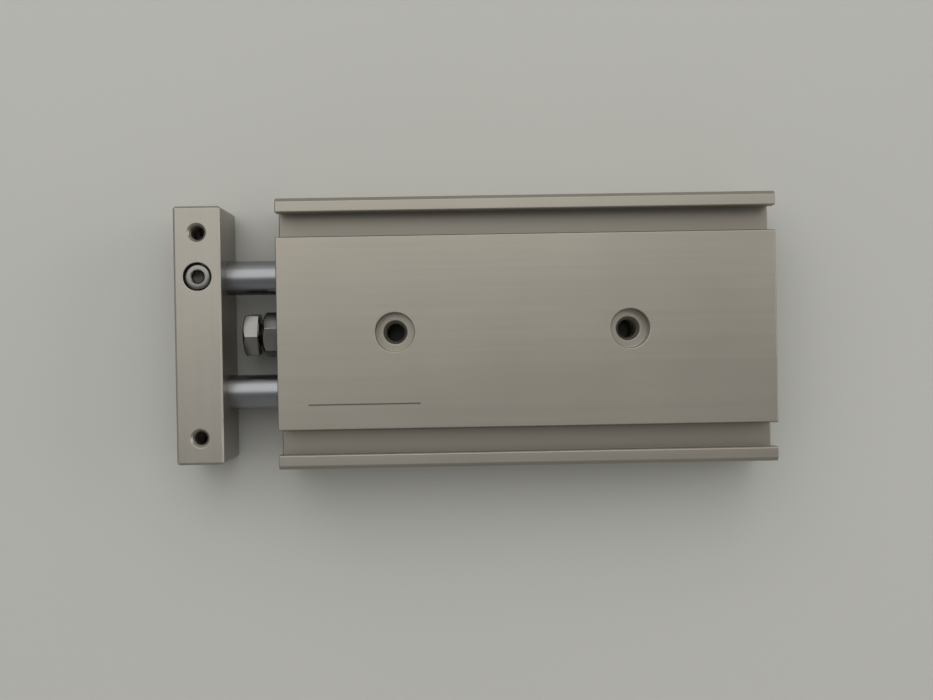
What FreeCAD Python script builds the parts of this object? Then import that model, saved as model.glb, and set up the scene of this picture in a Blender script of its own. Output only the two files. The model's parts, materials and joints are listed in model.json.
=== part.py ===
import FreeCAD, Part
import math
import os
import re
import Sketcher

# Twin rod pneumatic cylinder, 10 mm bore and 30 mm stroke, lying on its base face.
# The origin is on the base face, midway between the two mounting holes, with +Z up.
# +X points to the rear end, so the rods and the end plate travel towards -X.
# Side a is the rod at +Y and side b is the rod at -Y.

SIZES = {
    # Housing
    "housing_height": 17.0,
    "long_edge_chamfer": 0.6,
    "end_edge_break": 0.15,
    "slot_offset": 6.45,
    "slot_width": 4.1,
    "rail_width": 2.45,
    "slot_depth": 5.3,
    "slot_lip": 2.4,
    "slot_undercut": 0.4,
    "slot_edge_break": 0.2,
    "rod_pitch": 20.0,
    "bore_dia": 10.0,
    "seat_step": 0.8,
    "seat_mouth_break": 0.25,
    "front_seat_depth": 11.5,
    "rear_seat_depth": 7.3,
    "mount_setback": 20.0,
    "mount_pitch": 40.0,
    "mount_hole_dia": 3.4,
    "mount_chamfer_dia": 4.2,
    "counterbore_dia": 6.6,
    "counterbore_depth": 3.0,
    "counterbore_break": 0.15,
    "port_height": 6.0,
    "front_port_setback": 13.5,
    "rear_port_setback": 10.0,
    "port_tap_dia": 4.2,
    "port_mouth_dia": 5.2,
    "port_tap_depth": 6.0,
    "passage_dia": 2.5,
    "rear_tap_offset": 9.5,
    "rear_tap_dia": 3.3,
    "rear_tap_mouth_dia": 4.1,
    "rear_tap_depth": 6.0,
    # Retaining rings
    "ring_setback": 1.2,
    "ring_thickness": 1.0,
    "ring_play": 0.1,
    "ring_groove_depth": 0.35,
    "ring_wall": 1.2,
    "ring_gap": 1.0,
    "lug_dia": 1.8,
    "lug_hole_dia": 0.8,
    "lug_offset": 1.35,
    "lug_inset": 1.7,
    # Covers, bushes and static seals
    "sleeve_length": 13.3,
    "bush_wall": 0.75,
    "bush_length": 12.0,
    "bush_recess": 0.3,
    "rod_passage_gap": 0.2,
    "rod_seal_setback": 1.2,
    "rod_seal_width": 2.6,
    "rod_seal_wall": 1.3,
    "rod_seal_notch": 0.5,
    "o_ring_setback": 1.6,
    "o_ring_groove_width": 1.5,
    "o_ring_groove_depth": 1.0,
    "o_ring_slack": 0.03,
    "o_ring_corner": 0.3,
    "cover_edge_break": 0.3,
    "nose_dia": 6.0,
    "nose_length": 2.0,
    "bumper_pin_dia": 2.4,
    "bumper_pin_length": 1.8,
    "rear_bumper_dia": 7.0,
    "rear_bumper_thickness": 2.5,
    "bumper_edge_break": 0.4,
    # Pistons
    "stroke": 30.0,
    "stroke_end_gap": 0.2,
    "piston_length": 9.0,
    "piston_seal_groove_depth": 1.6,
    "piston_seal_groove_width": 2.4,
    "magnet_wall": 1.7,
    "magnet_length": 4.0,
    "keeper_thickness": 2.5,
    "front_bumper_thickness": 2.5,
    "piston_screw_dia": 3.0,
    "piston_screw_length": 9.0,
    "piston_screw_head_dia": 5.6,
    "piston_screw_head_edge": 0.2,
    "piston_screw_socket": 2.0,
    "piston_screw_socket_depth": 1.0,
    # Rods and end plate
    "rod_step": 2.0,
    "rod_tail_dia": 4.0,
    "rod_tail_tap_extra": 1.0,
    "rod_end_recess": 0.3,
    "rod_end_chamfer": 0.5,
    "plate_gap": 9.4,
    "plate_thickness": 8.0,
    "plate_width": 44.0,
    "plate_height": 15.0,
    "plate_edge_break": 0.35,
    "plate_tap_pitch": 35.0,
    "plate_tap_dia": 2.5,
    "plate_tap_mouth_dia": 3.3,
    "clamp_screw_dia": 2.5,
    "clamp_screw_length": 10.0,
    "clamp_head_dia": 4.5,
    "clamp_head_height": 2.5,
    "clamp_head_break": 0.25,
    "clamp_socket": 2.0,
    "clamp_socket_depth": 1.3,
    "clamp_seat_depth": 2.8,
    "clamp_tap_extra": 0.8,
    # Stop bolt and its lock nut
    "stop_thread_dia": 4.0,
    "stop_bolt_length": 12.0,
    "stop_hole_depth": 10.5,
    "stop_thread_shown": 0.6,
    "stop_head_height": 2.8,
    "stop_hex": 7.0,
    "lock_nut_height": 3.2,
    "lock_nut_turn": 21.0,
    "hex_face_dia": 6.6,
    "thread_end_chamfer": 0.5,
    # Port plugs
    "plug_length": 4.5,
    "plug_recess": 0.6,
    "plug_socket": 2.5,
    "plug_socket_depth": 2.4,
    # Clearances, on the radius
    "press_gap": 0.01,
    "slip_gap": 0.05,
    "running_gap": 0.03,
    "screw_gap": 0.15,
    "clamp_seat_gap": 0.2,
    "sleeve_gap": 0.5,
    "piston_gap": 0.1,
    "piston_seal_gap": 0.04,
    "magnet_gap": 0.3,
    "keeper_gap": 0.2,
    "front_bumper_gap": 0.5,
    "stop_thread_gap": 0.05,
}

DRILL_POINT = "0.6"
CHAMFER_SLOPE = "tan(30)"
FULL_TURN = 360.0

AXIS_HEIGHT = "(housing_height / 2)"
SLOT_INNER = "(rod_pitch / 2 + slot_offset)"
SLOT_OUTER = f"({SLOT_INNER} + slot_width)"
HALF_WIDTH = f"({SLOT_OUTER} + rail_width)"
FRONT_X = "(-mount_setback - mount_pitch / 2)"
RING_SLOT = "(ring_thickness + ring_play)"
BORE_R = "(bore_dia / 2)"
ROD_R = f"({BORE_R} - rod_step)"
SLEEVE_R = f"({BORE_R} - sleeve_gap)"
PISTON_R = f"({BORE_R} - piston_gap)"
PISTON_GROOVE_R = f"({PISTON_R} - piston_seal_groove_depth)"
MAGNET_R = f"({BORE_R} - magnet_gap)"
HUB_R = f"({MAGNET_R} - magnet_wall)"
SEAT_R = f"({BORE_R} + seat_step)"
RING_GROOVE_R = f"({SEAT_R} + ring_groove_depth)"
LUG_REACH = f"({RING_GROOVE_R} - lug_inset)"
O_RING_GROOVE_R = f"({SEAT_R} - o_ring_groove_depth)"
BUSH_R = f"({ROD_R} + bush_wall)"
ROD_SEAL_R = f"({ROD_R} + rod_seal_wall)"
COVER_SETBACK = f"(ring_setback + {RING_SLOT})"
FLANGE_LENGTH = f"(front_seat_depth - {COVER_SETBACK})"
REAR_COVER_LENGTH = f"(rear_seat_depth - {COVER_SETBACK})"

# Places along the bores, measured from the front face of the housing
SLEEVE_END = "(front_seat_depth + sleeve_length)"
FRONT_BUMPER_AT = f"({SLEEVE_END} + stroke_end_gap + stroke)"
PISTON_AT = f"({FRONT_BUMPER_AT} + front_bumper_thickness)"
MAGNET_AT = f"({PISTON_AT} + piston_length)"
KEEPER_AT = f"({MAGNET_AT} + magnet_length)"
REAR_BUMPER_AT = f"({KEEPER_AT} + keeper_thickness + stroke_end_gap)"
NOSE_AT = f"({REAR_BUMPER_AT} + rear_bumper_thickness)"
REAR_COVER_AT = f"({NOSE_AT} + nose_length)"
HOUSING_LENGTH = f"({REAR_COVER_AT} + rear_seat_depth)"

SIDES = {"a": "rod_pitch / 2", "b": "-rod_pitch / 2"}

doc = FreeCAD.newDocument("TwinRodCylinder")
sheet = doc.addObject("Spreadsheet::Sheet", "Sizes")
for row, (alias, size) in enumerate(SIZES.items(), start=1):
    sheet.set(f"A{row}", alias)
    sheet.set(f"B{row}", str(size))
    sheet.setAlias(f"B{row}", alias)
doc.recompute()

nodes = {}


def bound(formula):
    """Point each size named in a formula at its cell in the sheet."""
    return re.sub(r"[a-z_]+", lambda word: f"Sizes.{word[0]}" if word[0] in SIZES else word[0], formula)


def tie(target, path, formula):
    target.setExpression(path, bound(formula))


def place(item, x="0", y="0", z="0"):
    for axis, formula in zip("xyz", (x, y, z)):
        tie(item, f"Placement.Base.{axis}", formula)


def new_body(label, x="0", y="0", z="0"):
    body = doc.addObject("PartDesign::Body", label)
    place(body, x, y, z)
    return body


def origin_plane(body, role):
    return next(item for item in body.Origin.OriginFeatures if item.Role == role)


def new_sketch(body, name, plane, x="0", y="0", z="0"):
    sketch = body.newObject("Sketcher::SketchObject", name)
    sketch.AttachmentSupport = [(origin_plane(body, plane), "")]
    sketch.MapMode = "FlatFace"
    for axis, formula in zip("xyz", (x, y, z)):
        tie(sketch, f"AttachmentOffset.Base.{axis}", formula)
    return sketch


def draw_outline(sketch, corners):
    """Draw a closed outline of straight lines and hold every corner with two dimensions."""
    count = len(corners)
    angles = [i * math.tau / count for i in range(count)]
    start = [FreeCAD.Vector(math.cos(angle), math.sin(angle)) for angle in angles]
    sketch.addGeometry([Part.LineSegment(start[i - 1], start[i]) for i in range(count)], False)
    rules = [Sketcher.Constraint("Coincident", i - 1, 2, i, 1) for i in range(1, count)]
    rules.append(Sketcher.Constraint("Coincident", count - 1, 2, 0, 1))
    for i in range(count):
        rules.append(Sketcher.Constraint("DistanceX", -1, 1, i, 2, start[i].x))
        rules.append(Sketcher.Constraint("DistanceY", -1, 1, i, 2, start[i].y))
    sketch.addConstraint(rules)
    for i, (across, up) in enumerate(corners):
        tie(sketch, f"Constraints[{count + 2 * i}]", across)
        tie(sketch, f"Constraints[{count + 2 * i + 1}]", up)


def draw_circle(sketch, across, up, diameter):
    first = sketch.ConstraintCount
    unit = Part.Circle(FreeCAD.Vector(1, 1, 0), FreeCAD.Vector(0, 0, 1), 1)
    index = sketch.addGeometry(unit, False)
    sketch.addConstraint([
        Sketcher.Constraint("DistanceX", -1, 1, index, 3, 1),
        Sketcher.Constraint("DistanceY", -1, 1, index, 3, 1),
        Sketcher.Constraint("Diameter", index, 2),
    ])
    for offset, formula in enumerate((across, up, diameter)):
        tie(sketch, f"Constraints[{first + offset}]", formula)


def turn(body, kind, name, corners, plane="XY_Plane", axis="H_Axis", at=("0", "0", "0")):
    """Revolve an outline about one axis of its own sketch, as a Revolution or as a Groove."""
    sketch = new_sketch(body, f"{name}_profile", plane, *at)
    draw_outline(sketch, corners)
    feature = body.newObject(f"PartDesign::{kind}", name)
    feature.Profile = sketch
    feature.ReferenceAxis = (sketch, [axis])
    feature.Angle = FULL_TURN
    return feature


def extrude(body, kind, name, sketch, length, reverse=False):
    feature = body.newObject(f"PartDesign::{kind}", name)
    feature.Profile = sketch
    feature.Reversed = reverse
    tie(feature, "Length", length)
    return feature


def mirror(body, feature):
    pair = body.newObject("PartDesign::Mirrored", f"{feature.Name}_pair")
    pair.Originals = [feature]
    pair.MirrorPlane = (origin_plane(body, "XZ_Plane"), [""])
    body.Tip = pair


def hexagon(across_flats):
    """Corners of a hexagon with one corner up."""
    corner = f"{across_flats} / sqrt(3)"
    flat = f"{across_flats} / 2"
    return [
        ("0", corner), (flat, f"{corner} / 2"), (flat, f"-{corner} / 2"),
        ("0", f"-{corner}"), (f"-{flat}", f"-{corner} / 2"), (f"-{flat}", f"{corner} / 2"),
    ]


def ring_outline(length, inner, outer):
    return [("0", inner), ("0", outer), (length, outer), (length, inner)]


def keep(label, item):
    nodes[label] = item


def group(label, items):
    """Join like pieces in one node, each as a solid of its own."""
    compound = doc.addObject("Part::Compound", label)
    compound.Links = items
    keep(label, compound)


def housing_section():
    """Half section of the extrusion at +Y, from the base up and round the sensor slot."""
    top = "housing_height"
    lip = f"{top} - slot_lip"
    floor = f"{top} - slot_depth"
    return [
        (f"{HALF_WIDTH} - long_edge_chamfer", "0"),
        (HALF_WIDTH, "long_edge_chamfer"),
        (HALF_WIDTH, f"{top} - long_edge_chamfer"),
        (f"{HALF_WIDTH} - long_edge_chamfer", top),
        (f"{SLOT_OUTER} + slot_edge_break", top),
        (SLOT_OUTER, f"{top} - slot_edge_break"),
        (SLOT_OUTER, lip),
        (f"{SLOT_OUTER} + slot_undercut", lip),
        (f"{SLOT_OUTER} + slot_undercut", floor),
        (f"{SLOT_INNER} - slot_undercut", floor),
        (f"{SLOT_INNER} - slot_undercut", lip),
        (SLOT_INNER, lip),
        (SLOT_INNER, f"{top} - slot_edge_break"),
        (f"{SLOT_INNER} - slot_edge_break", top),
    ]


def break_end_edges(body, pad):
    """Chamfer the outline of both end faces."""
    doc.recompute()
    upright = [edge.BoundBox.XLength < edge.Length / 2 for edge in pad.Shape.Edges]
    names = [f"Edge{index}" for index, is_upright in enumerate(upright, start=1) if is_upright]
    chamfer = body.newObject("PartDesign::Chamfer", "end_edges")
    chamfer.Base = (pad, names)
    tie(chamfer, "Size", "end_edge_break")


def cut_bores(body):
    """Cut one stepped bore with its ring grooves, and its twin."""
    mouth = f"({SEAT_R} + seat_mouth_break)"
    rear = HOUSING_LENGTH
    corners = [
        ("0", "0"),
        ("0", mouth),
        ("seat_mouth_break", SEAT_R),
        ("ring_setback", SEAT_R),
        ("ring_setback", RING_GROOVE_R),
        (COVER_SETBACK, RING_GROOVE_R),
        (COVER_SETBACK, SEAT_R),
        ("front_seat_depth", SEAT_R),
        ("front_seat_depth", BORE_R),
        (REAR_COVER_AT, BORE_R),
        (REAR_COVER_AT, SEAT_R),
        (f"{rear} - {COVER_SETBACK}", SEAT_R),
        (f"{rear} - {COVER_SETBACK}", RING_GROOVE_R),
        (f"{rear} - ring_setback", RING_GROOVE_R),
        (f"{rear} - ring_setback", SEAT_R),
        (f"{rear} - seat_mouth_break", SEAT_R),
        (rear, mouth),
        (rear, "0"),
    ]
    mirror(body, turn(body, "Groove", "bore", corners, at=("0", SIDES["a"], AXIS_HEIGHT)))


def cut_mounting_holes(body):
    """Cut a tapped hole with a counterbore on both faces, and repeat it along the housing."""
    wide = "counterbore_dia / 2"
    rim = f"{wide} + counterbore_break"
    hole = "mount_hole_dia / 2"
    mouth = "mount_chamfer_dia / 2"
    low = "counterbore_depth"
    high = "(housing_height - counterbore_depth)"
    top = "housing_height"
    slope = f"({mouth} - {hole})"
    corners = [
        ("0", "0"), (rim, "0"), (wide, "counterbore_break"), (wide, low), (mouth, low),
        (hole, f"{low} + {slope}"), (hole, f"{high} - {slope}"),
        (mouth, high), (wide, high), (wide, f"{top} - counterbore_break"), (rim, top), ("0", top),
    ]
    at = ("mount_setback", "0", "0")
    hole_cut = turn(body, "Groove", "mounting_hole", corners, plane="XZ_Plane", axis="V_Axis", at=at)
    row = body.newObject("PartDesign::LinearPattern", "mounting_hole_row")
    row.Originals = [hole_cut]
    row.Direction = (next(item for item in body.Origin.OriginFeatures if item.Role == "X_Axis"), [""])
    row.Occurrences = 2
    tie(row, "Length", "mount_pitch")
    body.Tip = row


def cut_port(body, name, setback):
    """Cut a port from both sides and the passage that joins the two bores."""
    mouth = "port_mouth_dia / 2"
    tap = "port_tap_dia / 2"
    passage = "passage_dia / 2"
    slope = f"({mouth} - {tap})"
    inner = f"({HALF_WIDTH} - port_tap_depth)"
    corners = [
        ("0", f"-{HALF_WIDTH}"), (mouth, f"-{HALF_WIDTH}"), (tap, f"-{HALF_WIDTH} + {slope}"),
        (tap, f"-{inner}"), (passage, f"-{inner}"), (passage, inner), (tap, inner),
        (tap, f"{HALF_WIDTH} - {slope}"), (mouth, HALF_WIDTH), ("0", HALF_WIDTH),
    ]
    turn(body, "Groove", name, corners, axis="V_Axis", at=(setback, "0", "port_height"))


def blind_hole(radius, mouth, depth):
    """Profile of a drilled hole with a chamfered mouth, along +X from its mouth."""
    return [
        ("0", "0"), ("0", mouth), (f"{mouth} - {radius}", radius),
        (depth, radius), (f"{depth} + {DRILL_POINT} * {radius}", "0"),
    ]


def make_housing():
    body = new_body("housing", FRONT_X)
    half = housing_section()
    other = [(f"-({across})", up) for across, up in reversed(half)]
    sketch = new_sketch(body, "section", "YZ_Plane")
    draw_outline(sketch, half + other)
    break_end_edges(body, extrude(body, "Pad", "extrusion", sketch, HOUSING_LENGTH))
    cut_bores(body)
    cut_mounting_holes(body)
    cut_port(body, "front_port", "front_port_setback")
    cut_port(body, "rear_port", f"{HOUSING_LENGTH} - rear_port_setback")
    radius = "(stop_thread_dia / 2 + stop_thread_gap)"
    corners = blind_hole(radius, f"({radius} + thread_end_chamfer)", "stop_hole_depth")
    turn(body, "Groove", "stop_bolt_hole", corners, at=("0", "0", AXIS_HEIGHT))
    corners = blind_hole("(rear_tap_dia / 2)", "(rear_tap_mouth_dia / 2)", "rear_tap_depth")
    corners = [(f"{HOUSING_LENGTH} - ({along})", radius) for along, radius in corners]
    tap_at = ("0", "rod_pitch / 2 + rear_tap_offset", AXIS_HEIGHT)
    mirror(body, turn(body, "Groove", "rear_tap", corners, at=tap_at))
    keep("housing", body)


def bore_piece(label, side, at):
    """Start a body on the axis of one bore, at a distance behind the front face."""
    body = new_body(label, f"{FRONT_X} + {at}", SIDES[side], AXIS_HEIGHT)
    keep(label, body)
    return body


def make_rod_cover(side):
    """Rod guide: a flange in the front seat with a sleeve reaching back into the bore."""
    body = bore_piece(f"rod_cover_{side}", side, COVER_SETBACK)
    flange = f"({SEAT_R} - press_gap)"
    passage = f"({ROD_R} + rod_passage_gap)"
    end = f"({FLANGE_LENGTH} + sleeve_length)"
    groove = f"({FLANGE_LENGTH} - o_ring_setback)"
    bush_floor = f"{end} - bush_length - bush_recess"
    corners = [
        ("0", passage),
        ("0", f"{flange} - cover_edge_break"),
        ("cover_edge_break", flange),
        (f"{groove} - o_ring_groove_width", flange),
        (f"{groove} - o_ring_groove_width", O_RING_GROOVE_R),
        (groove, O_RING_GROOVE_R),
        (groove, flange),
        (FLANGE_LENGTH, flange),
        (FLANGE_LENGTH, SLEEVE_R),
        (end, SLEEVE_R),
        (end, BUSH_R),
        (bush_floor, BUSH_R),
        (bush_floor, passage),
        ("rod_seal_setback + rod_seal_width", passage),
        ("rod_seal_setback + rod_seal_width", ROD_SEAL_R),
        ("rod_seal_setback", ROD_SEAL_R),
        ("rod_seal_setback", passage),
    ]
    turn(body, "Revolution", f"cover_form_{side}", corners)


def make_rod_bush(side):
    body = bore_piece(f"rod_bush_{side}", side, f"{SLEEVE_END} - bush_recess - bush_length")
    corners = ring_outline("bush_length", f"{ROD_R} + running_gap", f"{BUSH_R} - press_gap")
    turn(body, "Revolution", f"bush_form_{side}", corners)


def make_rod_seal(side):
    """Lip seal with its notch towards the pressure side."""
    body = bore_piece(f"rod_seal_{side}", side, f"{COVER_SETBACK} + rod_seal_setback + press_gap")
    inner = f"{ROD_R} + slip_gap"
    outer = f"{ROD_SEAL_R} - press_gap"
    middle = f"({ROD_R} + rod_seal_wall / 2)"
    width = "(rod_seal_width - 2 * press_gap)"
    corners = [
        ("0", inner), ("0", outer), (width, outer), (width, f"{middle} + rod_seal_notch / 2"),
        (f"{width} - 2 * rod_seal_notch", middle), (width, f"{middle} - rod_seal_notch / 2"), (width, inner),
    ]
    turn(body, "Revolution", f"rod_seal_form_{side}", corners)


def make_o_ring(label, side, at):
    """Rubber ring squeezed flat between its groove and the seat; at is the middle of the groove."""
    body = bore_piece(label, side, at)
    inner = f"({O_RING_GROOVE_R} + o_ring_slack)"
    outer = f"({SEAT_R} - o_ring_slack)"
    bulge = "o_ring_groove_depth / 2"
    flat = f"({bulge} - o_ring_corner)"
    corners = [
        (f"-{flat}", inner), (flat, inner), (bulge, f"{inner} + o_ring_corner"),
        (bulge, f"{outer} - o_ring_corner"), (flat, outer), (f"-{flat}", outer),
        (f"-({bulge})", f"{outer} - o_ring_corner"), (f"-({bulge})", f"{inner} + o_ring_corner"),
    ]
    turn(body, "Revolution", f"{label}_form", corners)


def make_retaining_ring(label, side, at):
    """Internal spring ring with a gap at the top and two drilled lugs."""
    body = bore_piece(label, side, f"{at} + ring_play / 2")
    outer = f"{RING_GROOVE_R} - ring_play"
    hoop = new_sketch(body, f"{label}_hoop", "YZ_Plane")
    draw_circle(hoop, "0", "0", f"2 * ({outer})")
    draw_circle(hoop, "0", "0", f"2 * ({outer} - ring_wall)")
    extrude(body, "Pad", f"{label}_hoop_pad", hoop, "ring_thickness")
    for name, across in (("left", "-lug_offset"), ("right", "lug_offset")):
        lug = new_sketch(body, f"{label}_{name}_lug", "YZ_Plane")
        draw_circle(lug, across, LUG_REACH, "lug_dia")
        extrude(body, "Pad", f"{label}_{name}_lug_pad", lug, "ring_thickness")
        hole = new_sketch(body, f"{label}_{name}_hole", "YZ_Plane")
        draw_circle(hole, across, LUG_REACH, "lug_hole_dia")
        extrude(body, "Pocket", f"{label}_{name}_hole_cut", hole, "ring_thickness", reverse=True)
    gap = new_sketch(body, f"{label}_gap", "YZ_Plane")
    half = "ring_gap / 2"
    low = f"{LUG_REACH} - lug_dia"
    high = f"2 * {RING_GROOVE_R}"
    draw_outline(gap, [(f"-{half}", low), (half, low), (half, high), (f"-{half}", high)])
    extrude(body, "Pocket", f"{label}_gap_cut", gap, "ring_thickness", reverse=True)


def make_rear_cover(side):
    """Disc that closes the rear seat, with a nose that carries the bumper."""
    body = bore_piece(f"rear_cover_{side}", side, REAR_COVER_AT)
    rim = f"({SEAT_R} - press_gap)"
    nose_end = "-nose_length"
    pin_end = f"{nose_end} - bumper_pin_length"
    corners = [
        (pin_end, "0"),
        (pin_end, "bumper_pin_dia / 2"),
        (nose_end, "bumper_pin_dia / 2"),
        (nose_end, "nose_dia / 2"),
        ("0", "nose_dia / 2"),
        ("0", rim),
        ("o_ring_setback", rim),
        ("o_ring_setback", O_RING_GROOVE_R),
        ("o_ring_setback + o_ring_groove_width", O_RING_GROOVE_R),
        ("o_ring_setback + o_ring_groove_width", rim),
        (f"{REAR_COVER_LENGTH} - cover_edge_break", rim),
        (REAR_COVER_LENGTH, f"{rim} - cover_edge_break"),
        (REAR_COVER_LENGTH, "0"),
    ]
    turn(body, "Revolution", f"rear_cover_form_{side}", corners)


def make_rear_bumper(side):
    body = bore_piece(f"rear_bumper_{side}", side, REAR_BUMPER_AT)
    inner = "bumper_pin_dia / 2 + press_gap"
    outer = "rear_bumper_dia / 2"
    corners = [
        ("0", inner), ("0", f"{outer} - bumper_edge_break"), ("bumper_edge_break", outer),
        ("rear_bumper_thickness", outer), ("rear_bumper_thickness", inner),
    ]
    turn(body, "Revolution", f"rear_bumper_form_{side}", corners)


def make_front_bumper(side):
    body = bore_piece(f"front_bumper_{side}", side, FRONT_BUMPER_AT)
    inner = f"{ROD_R} + press_gap"
    outer = f"({BORE_R} - front_bumper_gap)"
    corners = [
        ("0", inner), ("0", f"{outer} - bumper_edge_break"), ("bumper_edge_break", outer),
        ("front_bumper_thickness", outer), ("front_bumper_thickness", inner),
    ]
    turn(body, "Revolution", f"front_bumper_form_{side}", corners)


def make_piston(side):
    """Spool with a seal groove and a rear hub for the magnet."""
    body = bore_piece(f"piston_{side}", side, PISTON_AT)
    inner = "rod_tail_dia / 2 + press_gap"
    start = "(piston_length - piston_seal_groove_width) / 2"
    stop = "(piston_length + piston_seal_groove_width) / 2"
    end = "piston_length + magnet_length"
    corners = [
        ("0", inner), ("0", PISTON_R),
        (start, PISTON_R), (start, PISTON_GROOVE_R), (stop, PISTON_GROOVE_R), (stop, PISTON_R),
        ("piston_length", PISTON_R), ("piston_length", HUB_R), (end, HUB_R), (end, inner),
    ]
    turn(body, "Revolution", f"piston_form_{side}", corners)


def make_piston_seal(side):
    """Two lipped ring that runs in the bore."""
    width = "(piston_seal_groove_width - 2 * press_gap)"
    start = "(piston_length - piston_seal_groove_width) / 2 + press_gap"
    body = bore_piece(f"piston_seal_{side}", side, f"{PISTON_AT} + {start}")
    inner = f"({PISTON_GROOVE_R} + press_gap)"
    outer = f"({BORE_R} - piston_seal_gap)"
    waist = f"({inner} + {outer}) / 2"
    corners = [
        ("0", inner), ("0", outer), (f"{width} / 4", outer), (f"{width} / 2", waist),
        (f"{width} * 3 / 4", outer), (width, outer), (width, inner),
    ]
    turn(body, "Revolution", f"piston_seal_form_{side}", corners)


def make_magnet(side):
    body = bore_piece(f"magnet_{side}", side, MAGNET_AT)
    corners = ring_outline("magnet_length", f"{HUB_R} + press_gap", MAGNET_R)
    turn(body, "Revolution", f"magnet_form_{side}", corners)


def make_magnet_keeper(side):
    """Washer that holds the magnet, with a countersink for the piston screw."""
    body = bore_piece(f"magnet_keeper_{side}", side, KEEPER_AT)
    hole = "(piston_screw_dia / 2 + press_gap)"
    sink = "(piston_screw_head_dia / 2 + press_gap)"
    outer = f"({BORE_R} - keeper_gap)"
    shelf = "keeper_thickness - piston_screw_head_edge"
    corners = [
        ("0", hole), ("0", outer), ("keeper_thickness", outer), ("keeper_thickness", sink),
        (shelf, sink), (f"{shelf} - ({sink} - {hole})", hole),
    ]
    turn(body, "Revolution", f"keeper_form_{side}", corners)


def make_piston_screw(side):
    """Countersunk screw through the keeper into the tail of the rod."""
    rear = f"{FRONT_X} + {KEEPER_AT} + keeper_thickness"
    body = new_body(f"piston_screw_{side}", rear, SIDES[side], AXIS_HEIGHT)
    head = "piston_screw_head_dia / 2"
    shank = "piston_screw_dia / 2"
    cone = f"-piston_screw_head_edge - ({head} - {shank})"
    corners = [
        ("0", "0"), ("0", head), ("-piston_screw_head_edge", head), (cone, shank),
        ("-piston_screw_length", shank), ("-piston_screw_length", "0"),
    ]
    turn(body, "Revolution", f"piston_screw_form_{side}", corners)
    socket = new_sketch(body, f"piston_screw_hex_{side}", "YZ_Plane")
    draw_outline(socket, hexagon("piston_screw_socket"))
    extrude(body, "Pocket", f"piston_screw_socket_cut_{side}", socket, "piston_screw_socket_depth")
    return body


def make_rod(side):
    """Polished rod with a stepped tail for the piston and a cross hole in the end plate."""
    body = bore_piece(f"rod_{side}", side, PISTON_AT)
    front = f"(-{PISTON_AT} - plate_gap - plate_thickness + rod_end_recess)"
    tail = "(piston_length + magnet_length)"
    tap = "(piston_screw_dia / 2 + press_gap)"
    floor = f"({tail} + keeper_thickness - piston_screw_length - rod_tail_tap_extra)"
    corners = [
        (front, "0"),
        (front, f"{ROD_R} - rod_end_chamfer"),
        (f"{front} + rod_end_chamfer", ROD_R),
        ("0", ROD_R),
        ("0", "rod_tail_dia / 2"),
        (tail, "rod_tail_dia / 2"),
        (tail, tap),
        (floor, tap),
        (f"{floor} - {DRILL_POINT} * {tap}", "0"),
    ]
    turn(body, "Revolution", f"rod_form_{side}", corners)
    middle = f"-{PISTON_AT} - plate_gap - plate_thickness / 2"
    cross = new_sketch(body, f"cross_hole_{side}", "XY_Plane", z=f"2 * {ROD_R}")
    draw_circle(cross, middle, "0", "clamp_screw_dia + 2 * screw_gap")
    extrude(body, "Pocket", f"cross_hole_cut_{side}", cross, f"4 * {ROD_R}")


def cut_clamp_hole(body, side, up):
    """Cut the counterbored hole of one clamp screw, from the top (up 1) or from below (up -1)."""
    top = "plate_height / 2"
    wide = "clamp_head_dia / 2 + clamp_seat_gap"
    seat = f"({top} - clamp_seat_depth)"
    clear = "clamp_screw_dia / 2 + screw_gap"
    tap = "clamp_screw_dia / 2 + press_gap"
    end = f"({seat} - clamp_screw_length - clamp_tap_extra)"
    corners = [
        ("0", top), (wide, top), (wide, seat), (clear, seat), (clear, "0"), (tap, "0"),
        (tap, end), ("0", f"{end} - {DRILL_POINT} * ({tap})"),
    ]
    corners = [(across, f"{up} * ({height})") for across, height in corners]
    at = ("plate_thickness / 2", "0", f"-({SIDES[side]})")
    turn(body, "Groove", f"clamp_hole_{side}", corners, plane="XZ_Plane", axis="V_Axis", at=at)


def through_tap(length):
    """Profile of a tapped through hole, centred on its axis, with both mouths chamfered."""
    tap = "plate_tap_dia / 2"
    mouth = "plate_tap_mouth_dia / 2"
    half = f"{length} / 2"
    slope = f"({mouth} - {tap})"
    return [
        ("0", f"-{half}"), (mouth, f"-{half}"), (tap, f"-{half} + {slope}"),
        (tap, f"{half} - {slope}"), (mouth, half), ("0", half),
    ]


def make_end_plate():
    """Plate that joins the rods, cross tapped at both ends."""
    body = new_body("end_plate", f"{FRONT_X} - plate_gap - plate_thickness", "0", AXIS_HEIGHT)
    wide = "plate_width / 2"
    high = "plate_height / 2"
    middle = "plate_thickness / 2"
    section = new_sketch(body, "plate_section", "YZ_Plane")
    draw_outline(section, [(f"-{wide}", f"-{high}"), (wide, f"-{high}"), (wide, high), (f"-{wide}", high)])
    extrude(body, "Pad", "plate_blank", section, "plate_thickness")
    doc.recompute()
    edges = body.newObject("PartDesign::Chamfer", "plate_edges")
    edges.Base = (body.getObject("plate_blank"), [""])
    edges.UseAllEdges = True
    tie(edges, "Size", "plate_edge_break")
    seats = new_sketch(body, "rod_seats", "YZ_Plane")
    for side in SIDES:
        draw_circle(seats, SIDES[side], "0", f"2 * ({ROD_R} + press_gap)")
    extrude(body, "Pocket", "rod_seat_cut", seats, "plate_thickness", reverse=True)
    at = (middle, "0", "-plate_tap_pitch / 2")
    corners = through_tap("plate_height")
    mirror(body, turn(body, "Groove", "upright_tap", corners, plane="XZ_Plane", axis="V_Axis", at=at))
    corners = [(along, radius) for radius, along in through_tap("plate_thickness")]
    mirror(body, turn(body, "Groove", "face_tap", corners, at=("0", "plate_tap_pitch / 2", "0")))
    cut_clamp_hole(body, "a", 1)
    cut_clamp_hole(body, "b", -1)
    keep("end_plate", body)


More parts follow.
